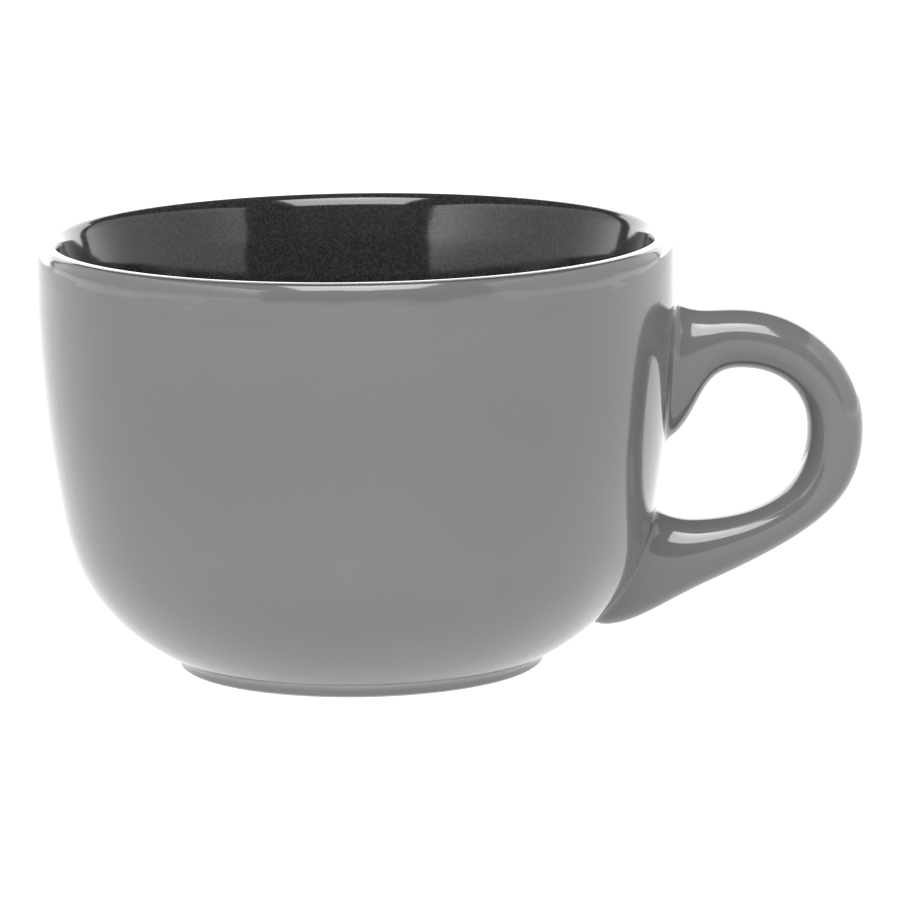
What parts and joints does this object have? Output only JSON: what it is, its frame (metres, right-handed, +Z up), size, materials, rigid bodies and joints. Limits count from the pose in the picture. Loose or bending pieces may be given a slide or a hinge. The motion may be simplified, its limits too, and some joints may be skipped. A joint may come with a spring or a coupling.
{
  "type": "cappuccino cup",
  "caption": "Wide rounded cappuccino cup on a low foot ring, with a closed loop handle, mid grey gloss outside and dark gloss inside.",
  "frame": {"origin": "centre of the foot ring, on the bowl's axis, in the plane that the cup stands on", "axes": "+Z up along the bowl's axis, +X from the axis towards the handle"},
  "size_m": [0.1606, 0.124, 0.084],
  "materials": {
    "clay": "bare fired stoneware clay, fine and dry, seen only on the standing edge of the foot ring",
    "slip": "fired joining slip, hidden under the glaze",
    "dark_glaze": "nearly black gloss glaze with fine pits",
    "grey_glaze": "plain mid grey gloss glaze, slightly wavy near the lip"
  },
  "bodies": {
    "root": {"bowl_body": "clay", "handle_body": "clay", "upper_slip_joint": "slip", "lower_slip_joint": "slip", "liner_glaze": "dark_glaze", "outer_glaze": "grey_glaze", "handle_glaze": "grey_glaze", "underside_glaze": "grey_glaze"}
  },
  "joints": []
}
